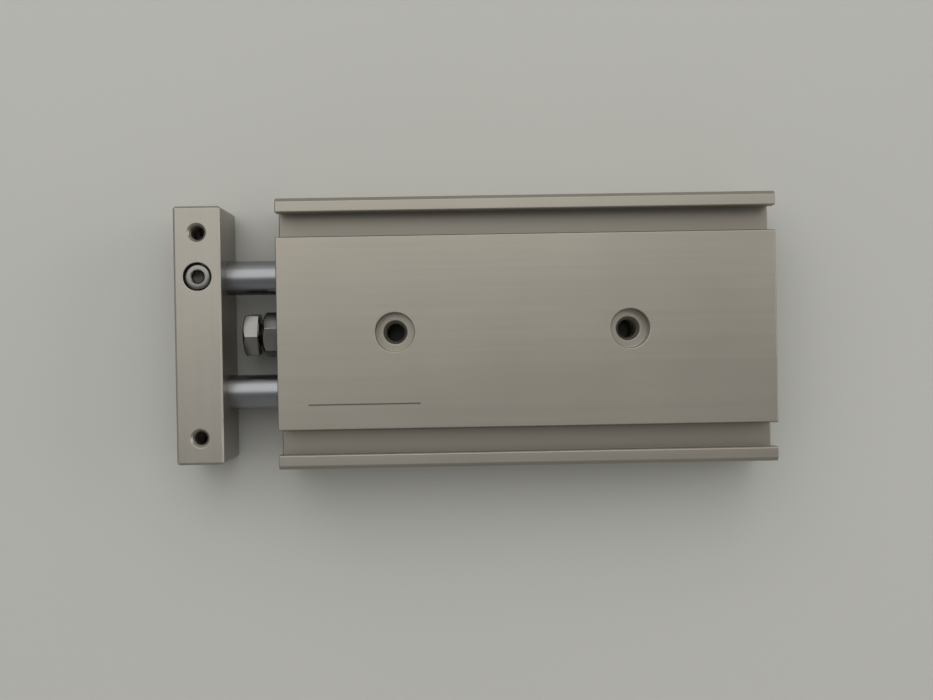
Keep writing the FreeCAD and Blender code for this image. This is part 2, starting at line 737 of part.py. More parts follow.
def make_clamp_screw(side, up):
    """Socket head screw through the plate and the rod, head up (1) or head down (-1)."""
    seat = f"{AXIS_HEIGHT} + {up} * (plate_height / 2 - clamp_seat_depth)"
    body = new_body(f"clamp_screw_{side}", f"{FRONT_X} - plate_gap - plate_thickness / 2", SIDES[side], seat)
    head = "clamp_head_dia / 2"
    shank = "clamp_screw_dia / 2"
    end = "-clamp_screw_length"
    top = "clamp_head_height"
    corners = [
        ("0", end), (f"{shank} - clamp_head_break", end), (shank, f"{end} + clamp_head_break"), (shank, "0"),
        (head, "0"), (head, f"{top} - clamp_head_break"), (f"{head} - clamp_head_break", top), ("0", top),
    ]
    corners = [(across, f"{up} * ({height})") for across, height in corners]
    turn(body, "Revolution", f"clamp_screw_form_{side}", corners, plane="XZ_Plane", axis="V_Axis")
    socket = new_sketch(body, f"clamp_screw_hex_{side}", "XY_Plane", z=f"{up} * clamp_head_height")
    draw_outline(socket, hexagon("clamp_socket"))
    extrude(body, "Pocket", f"clamp_socket_cut_{side}", socket, "clamp_socket_depth", reverse=up < 0)
    return body


def chamfer_hexagon(body, name, face, inward):
    """Turn the corners off one face of a hexagon; inward is the sign of X into the metal."""
    inner = "hex_face_dia / 2"
    outer = "stop_hex"
    depth = f"({outer} - {inner}) * {CHAMFER_SLOPE}"
    corners = [(face, inner), (face, outer), (f"{face} + {inward} * {depth}", outer)]
    turn(body, "Groove", name, corners)


def make_stop_bolt():
    """Hexagon head bolt that limits how far the plate comes back."""
    body = new_body("stop_bolt", f"{FRONT_X} - lock_nut_height - stop_thread_shown", "0", AXIS_HEIGHT)
    head = new_sketch(body, "stop_head", "YZ_Plane")
    draw_outline(head, hexagon("stop_hex"))
    extrude(body, "Pad", "stop_head_pad", head, "stop_head_height", reverse=True)
    chamfer_hexagon(body, "stop_head_corners", "-stop_head_height", 1)
    radius = "stop_thread_dia / 2"
    end = "stop_bolt_length"
    corners = [
        ("0", "0"), ("0", radius), (f"{end} - thread_end_chamfer", radius),
        (end, f"{radius} - thread_end_chamfer"), (end, "0"),
    ]
    turn(body, "Revolution", "stop_shank", corners)
    keep("stop_bolt", body)


def make_lock_nut():
    body = new_body("stop_lock_nut", FRONT_X, "0", AXIS_HEIGHT)
    body.Placement.Rotation = FreeCAD.Rotation(FreeCAD.Vector(1, 0, 0), 1)
    tie(body, "Placement.Rotation.Angle", "-lock_nut_turn")
    blank = new_sketch(body, "nut_section", "YZ_Plane")
    draw_outline(blank, hexagon("stop_hex"))
    extrude(body, "Pad", "nut_blank", blank, "lock_nut_height", reverse=True)
    chamfer_hexagon(body, "nut_front_corners", "-lock_nut_height", 1)
    chamfer_hexagon(body, "nut_rear_corners", "0", -1)
    radius = "(stop_thread_dia / 2 + stop_thread_gap)"
    mouth = f"{radius} + thread_end_chamfer"
    end = "-lock_nut_height"
    corners = [
        (end, "0"), (end, mouth), (f"{end} + thread_end_chamfer", radius),
        ("-thread_end_chamfer", radius), ("0", mouth), ("0", "0"),
    ]
    turn(body, "Groove", "nut_thread", corners)
    keep("stop_lock_nut", body)


def make_port_plug(name, setback):
    """Screw plug with a hexagon socket, sunk in a port at -Y."""
    outer_end = f"-{HALF_WIDTH} + plug_recess"
    body = new_body(f"{name}_plug", f"{FRONT_X} + {setback}", outer_end, "port_height")
    radius = "port_tap_dia / 2 - press_gap"
    corners = [
        ("0", "0"), (f"{radius} - clamp_head_break", "0"), (radius, "clamp_head_break"),
        (radius, "plug_length"), ("0", "plug_length"),
    ]
    turn(body, "Revolution", f"{name}_plug_form", corners, axis="V_Axis")
    socket = new_sketch(body, f"{name}_plug_hex", "XZ_Plane")
    draw_outline(socket, hexagon("plug_socket"))
    extrude(body, "Pocket", f"{name}_plug_socket_cut", socket, "plug_socket_depth")
    return body


def check_document():
    """Stop if a feature failed, cut nothing, or left a shape that isn't sound."""
    for item in doc.Objects:
        if "Invalid" in item.State or "Error" in item.State:
            raise RuntimeError(f"{item.Label} failed: {item.State}")
        if item.TypeId in ("PartDesign::Groove", "PartDesign::Pocket", "PartDesign::Mirrored"):
            if item.Shape.Volume >= item.BaseFeature.Shape.Volume - Part.Precision.confusion():
                raise RuntimeError(f"{item.Label} cut nothing")
    for label, item in nodes.items():
        if item.Shape.isNull() or not item.Shape.isValid():
            raise RuntimeError(f"{label} has no sound shape")


make_housing()
for side in SIDES:
    make_rod_cover(side)
    make_rod_bush(side)
    make_rod_seal(side)
    o_ring_at = "front_seat_depth - o_ring_setback - o_ring_groove_width / 2"
    make_o_ring(f"front_o_ring_{side}", side, o_ring_at)
    make_retaining_ring(f"front_retaining_ring_{side}", side, "ring_setback")
    make_rear_cover(side)
    make_o_ring(f"rear_o_ring_{side}", side, f"{REAR_COVER_AT} + o_ring_setback + o_ring_groove_width / 2")
    make_retaining_ring(f"rear_retaining_ring_{side}", side, f"{HOUSING_LENGTH} - {COVER_SETBACK}")
    make_rear_bumper(side)
    make_rod(side)
    make_piston(side)
    make_piston_seal(side)
    make_magnet(side)
    make_magnet_keeper(side)
    make_front_bumper(side)
make_end_plate()
make_stop_bolt()
make_lock_nut()
group("piston_screws", [make_piston_screw(side) for side in SIDES])
group("plate_clamp_screws", [make_clamp_screw("a", 1), make_clamp_screw("b", -1)])
rear_port = f"{HOUSING_LENGTH} - rear_port_setback"
group("port_plugs", [make_port_plug("front", "front_port_setback"), make_port_plug("rear", rear_port)])
doc.recompute()
check_document()

os.makedirs("parts", exist_ok=True)
for label, item in nodes.items():
    item.Shape.exportStep(os.path.join("parts", f"{label}.step"))
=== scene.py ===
import json
import math

import bpy
from bpy.props import FloatProperty, FloatVectorProperty, IntProperty, PointerProperty
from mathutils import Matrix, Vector


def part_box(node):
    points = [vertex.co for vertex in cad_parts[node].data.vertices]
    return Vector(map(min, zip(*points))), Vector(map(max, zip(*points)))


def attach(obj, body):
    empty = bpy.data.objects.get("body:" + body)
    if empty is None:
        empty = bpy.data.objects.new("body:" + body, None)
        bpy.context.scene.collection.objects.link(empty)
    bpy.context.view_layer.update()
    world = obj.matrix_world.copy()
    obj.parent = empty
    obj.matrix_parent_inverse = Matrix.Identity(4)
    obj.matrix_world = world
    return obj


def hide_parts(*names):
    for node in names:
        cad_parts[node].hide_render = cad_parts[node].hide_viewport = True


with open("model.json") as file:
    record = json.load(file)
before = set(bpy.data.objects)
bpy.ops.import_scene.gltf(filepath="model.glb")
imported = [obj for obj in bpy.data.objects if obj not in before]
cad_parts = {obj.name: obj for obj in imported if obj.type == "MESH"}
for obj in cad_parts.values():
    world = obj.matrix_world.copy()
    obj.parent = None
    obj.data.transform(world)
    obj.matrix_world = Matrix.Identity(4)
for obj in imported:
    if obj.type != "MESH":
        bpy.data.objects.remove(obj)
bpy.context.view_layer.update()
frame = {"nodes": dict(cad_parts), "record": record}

bl_info = {
    "name": "Twin Rod Cylinder",
    "version": (1, 0, 0),
    "blender": (4, 5, 0),
    "location": "View3D > Sidebar > Cylinder",
    "description": "Finishes, screws, threads and studio for a twin rod pneumatic cylinder",
    "category": "Object",
}

MOUNTS = {mount["name"]: mount for mount in frame["record"]["mounts"]}
MM = 0.001

# Distance below which two vertices become one
WELD = 1e-7

# Largest angle between two faces that are shaded as one, and smallest angle of an edge that is rounded
SMOOTH_ANGLE = math.radians(28)
SHARP_ANGLE = math.radians(25)

# Direction along each axis, and the direction in which a profile's radius is drawn
AXES = {
    "X": (Vector((1, 0, 0)), Vector((0, 0, 1))),
    "Y": (Vector((0, 1, 0)), Vector((0, 0, 1))),
    "Z": (Vector((0, 0, 1)), Vector((1, 0, 0))),
}

# Material of each slot in the record
FINISHES = {
    "anodised_housing": "satin_housing",
    "machined_aluminium": "turned_aluminium",
    "chromed_rod": "hard_chrome",
    "plated_steel": "bright_plating",
    "spring_steel": "dark_spring_steel",
    "bearing_bronze": "sintered_bronze",
    "black_rubber": "matt_rubber",
    "bumper_urethane": "cast_urethane",
    "ring_magnet": "ring_ferrite",
}
PLATE_FINISH = "satin_plate"
FLOOR_FINISH = "painted_table"

# Radius to which a finish rounds the edges of large and of small pieces
EDGE_RADIUS = 0.14 * MM
SMALL_EDGE_RADIUS = 0.08 * MM

# Centre of the cutter's arcs on a milled end, beside and under a piece drawn along X or Y, and their pitch
CUTTER_SIDE = {"X": -31 * MM, "Y": -90 * MM}
CUTTER_HEIGHT = -24 * MM
ARC_PITCH = 0.55 * MM

# How far the turned rings of a screw seat reach, how softly they end there, and their pitch
SEAT_RADIUS = 3.4 * MM
SEAT_BLUR = 0.1 * MM
SEAT_PITCH = 0.28 * MM

# How far the painted shade on the floor of a sensor slot reaches past the slot's opening to the sides and
# below, how far under the top face it ends, and how softly
SLOT_UNDERCUT = 0.6 * MM
SLOT_BELOW = 0.2 * MM
SLOT_LIP = 0.3 * MM
SLOT_BLUR = 0.05 * MM

# How deep under the top face the printed rule fades, how much it covers, and how softly its edges end,
# as a share of half its width
INK_DEPTH = 0.1 * MM
INK_COVER = 0.9
INK_BLUR = 0.6

# How far from its walls a hollow of a plated piece gets painted shade
PAINTED_SHADE_REACH = 3 * MM

# Profile of a screw's thread, as shares of its pitch
THREAD_DEPTH = 0.61
THREAD_FLAT = 1 / 4
THREAD_FLANK = 5 / 16
THREAD_CREST = 1 / 8

# Turns that a screw's thread is coiled past each end before it is cut to length, and the width of the blank
# that chamfers its ends, as a share of its radius
SPARE_TURNS = 2
THREAD_BLANK = 1.02

# Half of the width of a hole's thread, as a share of its pitch, and how deep its foot lies in the wall,
# as a share of its height
RIDGE_HALF = 0.42
RIDGE_SUNK = 0.2

# Slope of the chamfers on a hexagon, and the width of the blank that cuts them, as a share of the flat face
HEX_SLOPE = math.radians(30)
HEX_BLANK = 1.5

# Head of a clamp screw: height, lower chamfer and width of its blank as shares of its radius, steps of its
# rounded crown, and how far the shank reaches into it, as a share of its height
HEAD_HEIGHT = 10 / 9
HEAD_CHAMFER = 0.12
HEAD_BLANK = 1.01
CROWN_STEPS = 5
SHANK_OVERLAP = 0.3

# Cutters for a head's socket, with (along, radius) corners as shares of the socket's corner radius
DRILL_POINT = [(-0.3, 0), (0, 0.9), (0.3, 0)]
SOCKET_RIM = [(-0.35, 0), (-0.35, 0.75), (0.05, 1.15), (0.05, 0)]

# Chamfer of a plug's socket, as shares of the socket's corner radius
PLUG_RIM_OUTER = 1.1
PLUG_RIM_INNER = 0.8
PLUG_RIM_DEPTH = 0.3

# Half of the band in which the world's dim side turns bright, and the heights between which the dim side
# gets its low light, both measured on a sphere of radius 1
SIDE_BLEND = 0.35
LOW_LIGHT = (0.92, 0.62)

# Nearest distance that the camera sees
CLIP_START = 10 * MM


def length_property(name, description, millimetres):
    return FloatProperty(name=name, description=description, default=millimetres * MM,
                         unit="LENGTH", precision=5)


def angle_property(name, description, degrees):
    return FloatProperty(name=name, description=description, default=math.radians(degrees),
                         subtype="ANGLE")


def count_property(name, description, count):
    return IntProperty(name=name, description=description, default=count, min=12)


def colour_property(name, description, colour):
    return FloatVectorProperty(name=name, description=description, default=colour,
                               subtype="COLOR", min=0, max=1)


def light_property(name, description, strength):
    return FloatProperty(name=name, description=description, default=strength, min=0)


def power_property(name, description, watts):
    return FloatProperty(name=name, description=description, default=watts, unit="POWER")


def place_property(name, description, metres):
    return FloatVectorProperty(name=name, description=description, default=metres,
                               subtype="TRANSLATION", unit="LENGTH", precision=5)


class CYLINDER_PG_screws(bpy.types.PropertyGroup):
    """Sizes of the screws and threads"""
    thread_steps: count_property("Thread steps", "Faces in one turn of a thread", 40)
    stop_pitch: length_property("Stop bolt pitch", "Thread pitch of the stop bolt", 0.7)
    stop_hex: length_property("Stop hexagon", "Width across flats of the stop bolt and its nut", 7.0)
    stop_head: length_property("Stop head", "Height of the stop bolt's head", 2.8)
    stop_shank: length_property("Stop shank", "Diameter of the stop bolt's thread", 4.0)
    stop_point: length_property("Stop point", "Chamfer at the ends of the stop bolt's thread", 0.45)
    stop_turn: angle_property("Stop turn", "How far the stop bolt's hexagon is turned", 5)
    nut_hole: length_property("Nut hole", "Diameter of the lock nut's hole", 4.1)
    nut_mouth: length_property("Nut mouth", "Diameter of the chamfers at the lock nut's hole", 4.92)
    nut_turn: angle_property("Nut turn", "How far the lock nut is turned", -16)
    washer_face: length_property("Washer face", "Diameter of the round face under a hexagon", 6.5)
    washer_height: length_property("Washer height", "Height of the round face under the bolt's head", 0.14)
    hex_break: length_property("Hexagon edge", "Rounding of the hexagons' edges", 0.07)
    clamp_pitch: length_property("Clamp pitch", "Thread pitch of the clamp screws", 0.45)
    clamp_shank: length_property("Clamp shank", "Thread diameter of the clamp screws", 2.5)
    clamp_point: length_property("Clamp point", "Chamfer at the ends of the clamp screws' threads", 0.3)
    clamp_length: length_property("Clamp length", "Length of the clamp screws under the head", 10.0)
    clamp_socket: length_property("Clamp socket", "Width across flats of the clamp screws' sockets", 2.0)
    clamp_socket_depth: length_property("Clamp socket depth", "Depth of the clamp screws' sockets", 1.3)
    clamp_knurls: count_property("Knurls", "Ridges round a clamp screw's head", 36)
    clamp_knurl_depth: length_property("Knurl depth", "Depth between the ridges of such a head", 0.09)
    plug_pitch: length_property("Plug pitch", "Thread pitch of the ports and their plugs", 0.8)
    plug_point: length_property("Plug point", "Chamfer at the ends of a plug's thread", 0.4)
    plug_socket: length_property("Plug socket", "Width across flats of the plugs' sockets", 2.5)
    plug_socket_depth: length_property("Plug socket depth", "Depth of the plugs' sockets", 2.4)
    mount_pitch: length_property("Mounting pitch", "Thread pitch of the mounting and rear holes", 0.7)
    mount_thread: length_property("Mounting thread", "Threaded length of the mounting holes", 10.0)
    rear_thread: length_property("Rear thread", "Threaded length of the rear holes", 5.0)
    rear_inset: length_property("Rear inset", "How deep in its hole a rear thread begins", 0.6)
    plate_pitch: length_property("Plate pitch", "Thread pitch of the end plate's holes", 0.5)
    plate_inset: length_property("Plate inset", "How deep in its hole a plate thread begins", 0.5)
    crossing: length_property("Crossing", "Half of the bare stretch where two plate holes cross", 1.45)
    ridge_share: FloatProperty(name="Ridge", default=0.26, min=0.05, max=0.6,
                               description="Height of a hole's thread, as a share of its pitch")


class CYLINDER_PG_finishes(bpy.types.PropertyGroup):
    """Colours of the finishes and place of the printed rule"""
    anodised: colour_property("Anodised", "Satin aluminium of the housing", (0.290, 0.268, 0.226))
    plate: colour_property("Plate", "Satin aluminium of the end plate", (0.300, 0.281, 0.242))
    bright_edge: colour_property("Bright edge", "Aluminium that is rubbed bright", (0.58, 0.56, 0.515))
    turned: colour_property("Turned", "Turned aluminium of the covers and pistons", (0.42, 0.41, 0.385))
    chrome: colour_property("Chrome", "Hard chrome of the rods", (0.222, 0.229, 0.231))
    plated: colour_property("Plated", "Plated steel of the screws", (0.200, 0.195, 0.179))
    spring: colour_property("Spring steel", "Dark steel of the retaining rings", (0.055, 0.054, 0.055))
    bronze: colour_property("Bronze", "Sintered bronze of the rod bushes", (0.46, 0.29, 0.13))
    rubber: colour_property("Rubber", "Black rubber of the seals", (0.018, 0.018, 0.019))
    urethane: colour_property("Urethane", "Moulded urethane of the bumpers", (0.115, 0.100, 0.075))
    ferrite: colour_property("Ferrite", "Sintered ring magnets", (0.075, 0.075, 0.080))
    ink: colour_property("Ink", "Printed rule on the housing", (0.030, 0.027, 0.025))
    rule_start: length_property("Rule start", "Where the printed rule begins along X", -34.8)
    rule_stop: length_property("Rule stop", "Where the printed rule ends along X", -15.8)
    rule_side: length_property("Rule side", "Where the printed rule lies along Y", -12.11)
    rule_width: length_property("Rule width", "Width of the printed rule", 0.24)


class CYLINDER_PG_studio(bpy.types.PropertyGroup):
    """Floor, light and camera"""
    floor: colour_property("Floor", "Colour of the floor", (0.462, 0.460, 0.423))
    floor_size: length_property("Floor size", "Length of the floor's sides", 3000)
    floor_gap: length_property("Floor gap", "How far the floor lies under the base", 0.02)
    world_dim: light_property("Dim side", "Light from high on the dim side of the world", 0.30)
    world_low: light_property("Low dim side", "Light from low on its dim side", 0.40)
    world_bright: light_property("Bright side", "Light from its bright side", 0.82)
    world_turn: angle_property("World turn", "How far the bright side is turned from +Y to -X", 8)
    key_power: power_property("Key", "Power of the large lamp", 4.9)
    key_place: place_property("Key place", "Where the large lamp hangs", (-0.12, 0.56, 0.91))
    key_size: length_property("Key size", "Length of the large lamp's sides", 1200)
    key_spread: angle_property("Key spread", "Angle of the large lamp's beam", 180)
    rim_power: power_property("Rim", "Power of the side lamp", 0.46)
    rim_place: place_property("Rim place", "Where the side lamp stands", (1.00, 0.12, 0.36))
    rim_size: length_property("Rim size", "Length of the side lamp's sides", 750)
    rim_spread: angle_property("Rim spread", "Angle of the side lamp's beam", 70)
    lens: FloatProperty(name="Lens", description="Focal length in millimetres on a 36 mm sensor",
                        default=47.04)
    camera_place: place_property("Camera place", "Where the camera hangs", (-0.01061, -0.00188, 0.22362))
    camera_turn: FloatVectorProperty(name="Camera turn", description="How the camera is turned",
                                     default=[math.radians(angle) for angle in (-0.360, -0.759, -0.995)],
                                     subtype="EULER")


class Signal:
    """One output in a shader; arithmetic on it adds Math nodes."""

    def __init__(self, shader, socket):
        self.shader = shader
        self.socket = socket

    def other(self, name):
        """Another output of the same node."""
        return Signal(self.shader, self.socket.node.outputs[name])

    def math(self, operation, first, second=0.0):
        return self.shader.node("ShaderNodeMath", {"operation": operation}, {0: first, 1: second})

    def __add__(self, value):
        return self.math("ADD", self, value)

    def __sub__(self, value):
        return self.math("SUBTRACT", self, value)

    def __rsub__(self, value):
        return self.math("SUBTRACT", value, self)

    def __mul__(self, value):
        return self.math("MULTIPLY", self, value)

    def __pow__(self, value):
        return self.math("POWER", self, value)

    def __abs__(self):
        return self.math("ABSOLUTE", self)

    __radd__ = __add__
    __rmul__ = __mul__

    def sine(self):
        return self.math("SINE", self)

    def ramp(self, low, high):
        """0 at low, 1 at high and smooth between them; low may be the larger one."""
        limits = {"Value": self, "From Min": low, "From Max": high}
        return self.shader.node("ShaderNodeMapRange", {"interpolation_type": "SMOOTHSTEP"}, limits)

    def swing(self, amount):
        """A change about 0, from a value that varies about one half."""
        return (self - 0.5) * amount

    def wave(self, pitch):
        """Wave between 0 and 1 along this distance."""
        return (self * (math.tau / pitch)).sine() * 0.5 + 0.5


class Shader:
    """A node tree that is built from Python expressions."""

    def __init__(self, tree):
        self.tree = tree
        tree.nodes.clear()

    def node(self, kind, settings=None, inputs=None, output=0):
        """Add a node with its settings and the values or links of its sockets."""
        item = self.tree.nodes.new(kind)
        for name, value in (settings or {}).items():
            setattr(item, name, value)
        for name, value in (inputs or {}).items():
            if isinstance(value, Signal):
                self.tree.links.new(value.socket, item.inputs[name])
            else:
                item.inputs[name].default_value = value
        return Signal(self, item.outputs[output]) if item.outputs else item

    def position(self):
        return self.node("ShaderNodeTexCoord", output="Object")

    def normal(self):
        return self.node("ShaderNodeNewGeometry", output="Normal")

    def parts(self, vector):
        """The three parts of a vector."""
        x = self.node("ShaderNodeSeparateXYZ", None, {0: vector})
        return x, x.other("Y"), x.other("Z")

    def noise(self, vector, scale, detail=2.0, roughness=0.5):
        inputs = {"Vector": vector, "Scale": scale, "Detail": detail, "Roughness": roughness}
        return self.node("ShaderNodeTexNoise", None, inputs)

    def drawn_lines(self, vector, along, lengthwise, crosswise, detail):
        """Noise that is drawn out along one axis."""
        scale = [lengthwise if axis == along else crosswise for axis in AXES]
        stretched = self.node("ShaderNodeMapping", None, {"Vector": vector, "Scale": scale})
        return self.noise(stretched, 1.0, detail)

    def mix(self, factor, first, second):
        """Blend two colours, each a signal or a plain colour."""
        ends = [end if isinstance(end, Signal) else (*end, 1.0) for end in (first, second)]
        settings = {"data_type": "RGBA"}
        return self.node("ShaderNodeMix", settings, {0: factor, 6: ends[0], 7: ends[1]}, output=2)

    def rounded(self, radius):
        """Normal of the surface as if its edges were rounded."""
        return self.node("ShaderNodeBevel", {"samples": 8}, {"Radius": radius})

    def edge(self, rounded):
        """1 on an edge of the surface and 0 on its flats."""
        inputs = {0: rounded, 1: self.normal()}
        alike = self.node("ShaderNodeVectorMath", {"operation": "DOT_PRODUCT"}, inputs, output="Value")
        return (1 - alike).ramp(0.01, 0.2)

    def painted_hollow_shade(self, reach):
        """Mask of painted shade: 1 deep in a hollow of the surface and 0 in the open."""
        settings = {"samples": 6, "only_local": True}
        openness = self.node("ShaderNodeAmbientOcclusion", settings, {"Distance": reach}, output="AO")
        return 1 - openness.ramp(0.35, 1.0)

    def bump(self, height, distance, strength, normal=None):
        inputs = {"Height": height, "Distance": distance, "Strength": strength}
        if normal:
            inputs["Normal"] = normal
        return self.node("ShaderNodeBump", None, inputs)

    def surface(self, inputs):
        """End a material's shader with its surface."""
        principled = self.node("ShaderNodeBsdfPrincipled", None, inputs)
        self.node("ShaderNodeOutputMaterial", None, {"Surface": principled})


def shade(colour, factor):
    """A colour made darker or lighter."""
    return tuple(channel * factor for channel in colour)


def blend(mask, outside, inside):
    """One value where a mask is 0 and another where it is 1."""
    return outside * (1 - mask) + inside * mask


def within(signal, low, high, blur):
    """1 between two limits and 0 outside them."""
    return signal.ramp(low - blur, low + blur) * signal.ramp(high + blur, high - blur)


def tool_rings(across, up, pitch):
    """Distance from a centre, and concentric tool marks about it."""
    reach = (across ** 2.0 + up ** 2.0) ** 0.5
    return reach, reach.wave(pitch)


def new_finish(name):
    """Start a material with an empty shader."""
    material = bpy.data.materials.new(name)
    material.use_nodes = True
    return Shader(material.node_tree)


def give_finish(piece, name):
    """Give a piece one finish alone."""
    piece.data.materials.clear()
    piece.data.materials.append(bpy.data.materials[name])


def printed_rule(rule, x, y, z):
    """Mask of one plain line printed on the top face."""
    half = (rule["stop"] - rule["start"]) / 2
    thick = rule["width"] / 2
    blur = thick * INK_BLUR
    lengthwise = abs(x - rule["start"] - half).ramp(half + blur, half - blur)
    crosswise = abs(y - rule["side"]).ramp(thick + blur, thick - blur)
    on_top = z.ramp(rule["top"] - 2 * INK_DEPTH, rule["top"] - INK_DEPTH)
    return lengthwise * crosswise * on_top * INK_COVER


def anodised_finish(name, colour, edge_colour, along, seat_place=None, slots=None, rule=None):
    """Satin anodised aluminium with drawn lines along one axis, milled ends and turned screw seats."""
    shader = new_finish(name)
    place = shader.position()
    x, y, z = shader.parts(place)
    facing = {axis: abs(part) for axis, part in zip(AXES, shader.parts(shader.normal()))}
    broad = shader.drawn_lines(place, along, lengthwise=9, crosswise=700, detail=3.0)
    fine = shader.drawn_lines(place, along, lengthwise=60, crosswise=5200, detail=2.0)
    grain = shader.noise(place, scale=7000.0, detail=2.0, roughness=0.6)
    cloud = shader.noise(place, scale=38.0, detail=3.0, roughness=0.55)
    sideways = {"X": y, "Y": x}[along]
    _, arcs = tool_rings(sideways - CUTTER_SIDE[along], z - CUTTER_HEIGHT, ARC_PITCH)
    end_face = facing[along].ramp(0.8, 0.95)
    marks = blend(end_face, broad * 0.6 + fine * 0.4, arcs * 0.35 + fine * 0.65)
    if seat_place:
        reach, rings = tool_rings(abs(x) - seat_place, y, SEAT_PITCH)
        marks = blend(reach.ramp(SEAT_RADIUS + SEAT_BLUR, SEAT_RADIUS), marks, rings)
    rounded = shader.rounded(EDGE_RADIUS)
    edge = shader.edge(rounded)
    tone = (cloud * 0.55 + marks * 0.45).ramp(0.25, 0.75)
    darker = shade(colour, 0.92)
    lighter = shade(colour, 1.07)
    base = shader.mix(tone, darker, lighter)
    base = shader.mix(edge * 0.75, base, edge_colour)
    # Painted shade: the floors of the sensor slots are darkened to 0.84 of the colour, and made a little
    # rougher
    slot_painted_shade_and_dull = 0.0
    if slots:
        crosswise = within(abs(y), slots["inner"], slots["outer"], SLOT_BLUR)
        upright = within(z, slots["floor"], slots["mouth"], SLOT_BLUR)
        slot_painted_shade_and_dull = crosswise * upright * facing["Z"]
        base = shader.mix(slot_painted_shade_and_dull, base, shade(colour, 0.84))
    metallic = 0.9
    if rule:
        inked = printed_rule(rule, x, y, z)
        base = shader.mix(inked, base, rule["ink"])
        metallic = metallic - inked * metallic
    shader.surface({
        "Base Color": base,
        "Metallic": metallic,
        "Roughness": 0.35 + grain.swing(0.10) + marks.swing(0.08) - edge * 0.10 + slot_painted_shade_and_dull * 0.08,
        "Normal": shader.bump(marks * 0.7 + grain * 0.5, distance=0.012 * MM, strength=0.35,
                              normal=rounded),
    })


def turned_finish(name, colour, axis, pitch, roughness, depth, tone):
    """Lathe turned metal: fine rings about the rod axes and along them."""
    shader = new_finish(name)
    place = shader.position()
    x, y, z = shader.parts(place)
    _, rings = tool_rings(abs(y) - axis[0], z - axis[1], pitch)
    end_face = abs(shader.parts(shader.normal())[0]).ramp(0.5, 0.9)
    wobble = shader.noise(place, scale=160.0)
    marks = blend(end_face, x.wave(pitch), rings) * (0.6 + wobble * 0.4)
    rounded = shader.rounded(SMALL_EDGE_RADIUS)
    edge = shader.edge(rounded)
    rubbed = shade(colour, 1.25)
    base = shader.mix(marks, shade(colour, 1 - tone), shade(colour, 1 + tone))
    shader.surface({
        "Base Color": shader.mix(edge * 0.6, base, rubbed),
        "Metallic": 1.0,
        "Roughness": roughness + wobble.swing(0.12) - edge * 0.05,
        "Normal": shader.bump(marks, distance=depth, strength=0.4, normal=rounded),
    })


def plated_finish(name, colour, roughness, tint):
    """Plated or treated steel with a faint uneven tint, rubbed edges and painted shade in its hollows."""
    shader = new_finish(name)
    place = shader.position()
    cloud = shader.noise(place, scale=420.0, detail=3.0, roughness=0.6)
    grain = shader.noise(place, scale=5200.0, detail=2.0, roughness=0.6)
    rounded = shader.rounded(SMALL_EDGE_RADIUS)
    edge = shader.edge(rounded)
    rubbed = [min(1.0, channel * 1.3 + 0.03) for channel in colour]
    # Painted shade: the near black colour that the hollows are darkened to by ambient occlusion
    hollow = shade(colour, 0.08)
    base = shader.mix(cloud.ramp(0.3, 0.7), shade(colour, 0.93), shade(colour, tint))
    base = shader.mix(edge * 0.6, base, rubbed)
    shader.surface({
        "Base Color": shader.mix(shader.painted_hollow_shade(PAINTED_SHADE_REACH) * 0.95, base, hollow),
        "Metallic": 1.0,
        "Roughness": roughness + cloud.swing(0.14) + grain.swing(0.08) - edge * 0.06,
        "Normal": shader.bump(grain * 0.6 + cloud * 0.4, distance=0.008 * MM, strength=0.3,
                              normal=rounded),
    })


def moulded_finish(name, colour, roughness, speckle, metallic=0.0):
    """Moulded or sintered part with a fine matt grain."""
    shader = new_finish(name)
    place = shader.position()
    grain = shader.noise(place, scale=3600.0, detail=3.0, roughness=0.65)
    cloud = shader.noise(place, scale=240.0)
    spots = grain.ramp(0.58, 0.72) * speckle
    spotted = shade(colour, 0.45)
    base = shader.mix(cloud, shade(colour, 0.85), shade(colour, 1.15))
    shader.surface({
        "Base Color": shader.mix(spots, base, spotted),
        "Metallic": metallic,
        "Roughness": roughness + grain.swing(0.2),
        "Normal": shader.bump(grain, distance=0.01 * MM, strength=0.4),
    })


